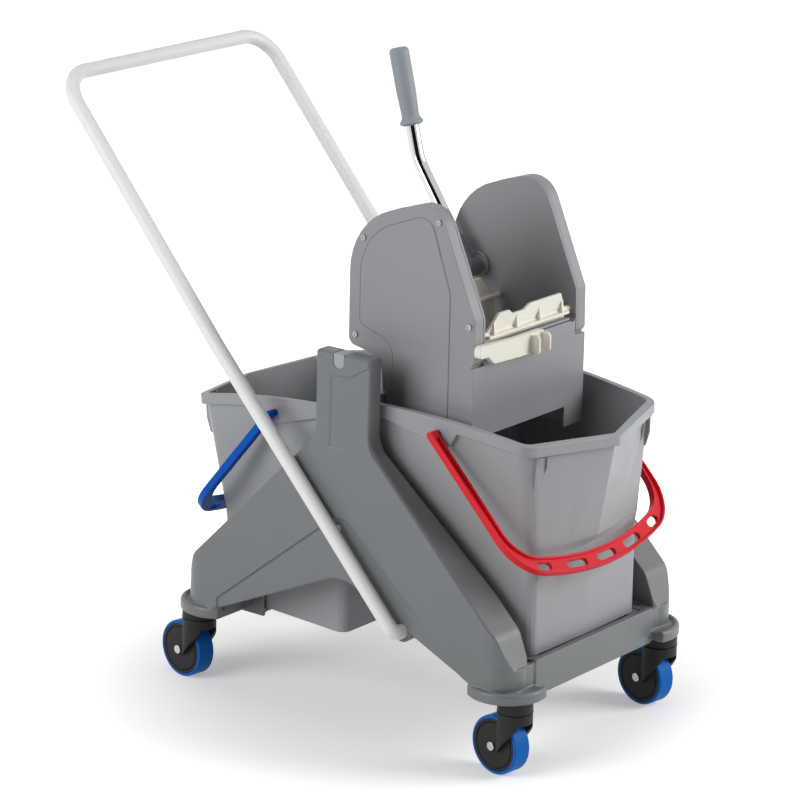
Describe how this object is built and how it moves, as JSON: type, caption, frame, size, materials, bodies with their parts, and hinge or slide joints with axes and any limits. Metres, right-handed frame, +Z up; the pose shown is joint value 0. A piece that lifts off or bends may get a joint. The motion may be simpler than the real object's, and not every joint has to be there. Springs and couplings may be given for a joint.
{
  "type": "double mop bucket trolley",
  "caption": "Mop bucket trolley on swivel casters with a bucket at each end, colour-coded bails, a lever-driven press wringer hung in one bucket and a tubular push handle.",
  "frame": {"origin": "on the floor, midway between the four caster swivel axes", "axes": "+X towards the bucket under the wringer, +Y to the side that the picture shows as the far one, +Z up"},
  "size_m": [0.7967, 0.4404, 0.8736],
  "materials": {
    "chassis_plastic": "injection-moulded polypropylene, fine grain",
    "insert_plastic": "moulded, satin",
    "handle_tube": "powder-coated steel tube, satin",
    "caster_plastic": "glass-filled nylon, matt",
    "zinc_steel": "zinc plated",
    "blue_tyre": "non-marking rubber, satin",
    "bucket_plastic": "injection-moulded polypropylene, satin",
    "red_bail_plastic": "moulded, satin",
    "blue_bail_plastic": "moulded, satin",
    "wringer_plastic": "moulded, fine grain",
    "dark_steel": "black-coated steel",
    "ivory_plastic": "moulded acetal, satin",
    "chrome_tube": "polished chrome plate",
    "grip_plastic": "soft moulded grip"
  },
  "bodies": {
    "chassis": {"side_frame_near": "chassis_plastic", "side_frame_far": "chassis_plastic", "front_crossbar": "chassis_plastic", "rear_crossbar": "chassis_plastic", "tower_bridge": "chassis_plastic", "tower_insert_near": "insert_plastic", "tower_insert_far": "insert_plastic", "push_handle": "handle_tube", "handle_pegs": "handle_tube", "caster_stem_nf": "caster_plastic", "caster_stem_ff": "caster_plastic", "caster_stem_nr": "caster_plastic", "caster_stem_fr": "caster_plastic"},
    "swivel_nf": {"caster_fork_nf": "caster_plastic", "caster_axle_nf": "zinc_steel"},
    "wheel_nf": {"wheel_hub_nf": "caster_plastic", "tyre_nf": "blue_tyre"},
    "swivel_ff": {"caster_fork_ff": "caster_plastic", "caster_axle_ff": "zinc_steel"},
    "wheel_ff": {"wheel_hub_ff": "caster_plastic", "tyre_ff": "blue_tyre"},
    "swivel_nr": {"caster_fork_nr": "caster_plastic", "caster_axle_nr": "zinc_steel"},
    "wheel_nr": {"wheel_hub_nr": "caster_plastic", "tyre_nr": "blue_tyre"},
    "swivel_fr": {"caster_fork_fr": "caster_plastic", "caster_axle_fr": "zinc_steel"},
    "wheel_fr": {"wheel_hub_fr": "caster_plastic", "tyre_fr": "blue_tyre"},
    "red_bucket": {"red_bucket": "bucket_plastic"},
    "red_bail": {"red_bail": "red_bail_plastic"},
    "blue_bucket": {"blue_bucket": "bucket_plastic"},
    "blue_bail": {"blue_bail": "blue_bail_plastic"},
    "wringer": {"wringer_body": "wringer_plastic", "wringer_cover_near": "wringer_plastic", "wringer_cover_far": "wringer_plastic", "cover_screws": "zinc_steel", "rim_hook_near": "dark_steel", "rim_hook_far": "dark_steel", "frame_release_latch": "ivory_plastic", "shaft_bush_near": "wringer_plastic", "shaft_bush_far": "wringer_plastic"},
    "lever": {"cross_shaft": "zinc_steel", "shaft_crank_near": "dark_steel", "shaft_crank_far": "dark_steel", "lever_hub": "dark_steel", "lever_tube": "chrome_tube", "lever_grip": "grip_plastic"},
    "front_jaw": {"front_jaw": "ivory_plastic", "front_jaw_arms": "dark_steel"},
    "rear_jaw": {"rear_jaw": "ivory_plastic", "rear_jaw_arms": "dark_steel"},
    "front_link": {"front_links": "dark_steel"},
    "rear_link": {"rear_links": "dark_steel"}
  },
  "joints": [
    {"name": "swivel_nf", "type": "hinge", "parent": "chassis", "child": "swivel_nf", "pos_m": [0.2705, -0.1655, 0.1], "axis": [0, 0, 1], "continuous": true},
    {"name": "wheel_nf", "type": "hinge", "parent": "swivel_nf", "child": "wheel_nf", "pos_m": [0.24673, -0.16216, 0.04], "axis": [0.1392, 0.9903, 0], "continuous": true},
    {"name": "swivel_ff", "type": "hinge", "parent": "chassis", "child": "swivel_ff", "pos_m": [0.2705, 0.1655, 0.1], "axis": [0, 0, 1], "continuous": true},
    {"name": "wheel_ff", "type": "hinge", "parent": "swivel_ff", "child": "wheel_ff", "pos_m": [0.24673, 0.16884, 0.04], "axis": [0.1392, 0.9903, 0], "continuous": true},
    {"name": "swivel_nr", "type": "hinge", "parent": "chassis", "child": "swivel_nr", "pos_m": [-0.2705, -0.1655, 0.1], "axis": [0, 0, 1], "continuous": true},
    {"name": "wheel_nr", "type": "hinge", "parent": "swivel_nr", "child": "wheel_nr", "pos_m": [-0.29427, -0.16216, 0.04], "axis": [0.1392, 0.9903, 0], "continuous": true},
    {"name": "swivel_fr", "type": "hinge", "parent": "chassis", "child": "swivel_fr", "pos_m": [-0.2705, 0.1655, 0.1], "axis": [0, 0, 1], "continuous": true},
    {"name": "wheel_fr", "type": "hinge", "parent": "swivel_fr", "child": "wheel_fr", "pos_m": [-0.29427, 0.16884, 0.04], "axis": [0.1392, 0.9903, 0], "continuous": true},
    {"name": "red_bucket_lift", "type": "slide", "parent": "chassis", "child": "red_bucket", "axis": [0, 0, 1], "range_m": [0, 0.35]},
    {"name": "blue_bucket_lift", "type": "slide", "parent": "chassis", "child": "blue_bucket", "axis": [0, 0, 1], "range_m": [0, 0.05]},
    {"name": "red_bail", "type": "hinge", "parent": "red_bucket", "child": "red_bail", "pos_m": [0.1275, 0, 0.4355], "axis": [0, -1, 0], "range_deg": [0, 105]},
    {"name": "blue_bail", "type": "hinge", "parent": "blue_bucket", "child": "blue_bail", "pos_m": [-0.14549, 0, 0.4082], "axis": [0, 1, 0], "range_deg": [0, 90]},
    {"name": "wringer_lift", "type": "slide", "parent": "red_bucket", "child": "wringer", "axis": [0, 0, 1], "range_m": [0, 0.3]},
    {"name": "press_lever", "type": "hinge", "parent": "wringer", "child": "lever", "pos_m": [-0.003, 0, 0.589], "axis": [0, -1, 0], "range_deg": [0, 55]},
    {"name": "rear_jaw", "type": "hinge", "parent": "wringer", "child": "rear_jaw", "pos_m": [0.03, 0, 0.552], "axis": [0, -1, 0], "range_deg": [0, 17.7]},
    {"name": "front_jaw", "type": "hinge", "parent": "wringer", "child": "front_jaw", "pos_m": [0.146, 0, 0.555], "axis": [0, -1, 0], "range_deg": [-17.7, 0]},
    {"name": "rear_link", "type": "hinge", "parent": "lever", "child": "rear_link", "pos_m": [0.00628, 0, 0.59491], "axis": [0, -1, 0], "range_deg": [-51.3, 0]},
    {"name": "front_link", "type": "hinge", "parent": "lever", "child": "front_link", "pos_m": [0.00628, 0, 0.59491], "axis": [0, -1, 0], "range_deg": [-55.7, 0]}
  ],
  "couplings": [
    {"joint": "rear_jaw", "follows": "press_lever", "ratio": 0.32},
    {"joint": "front_jaw", "follows": "press_lever", "ratio": -0.32},
    {"joint": "rear_link", "follows": "press_lever", "ratio": -0.9316},
    {"joint": "front_link", "follows": "press_lever", "ratio": -1.012}
  ]
}
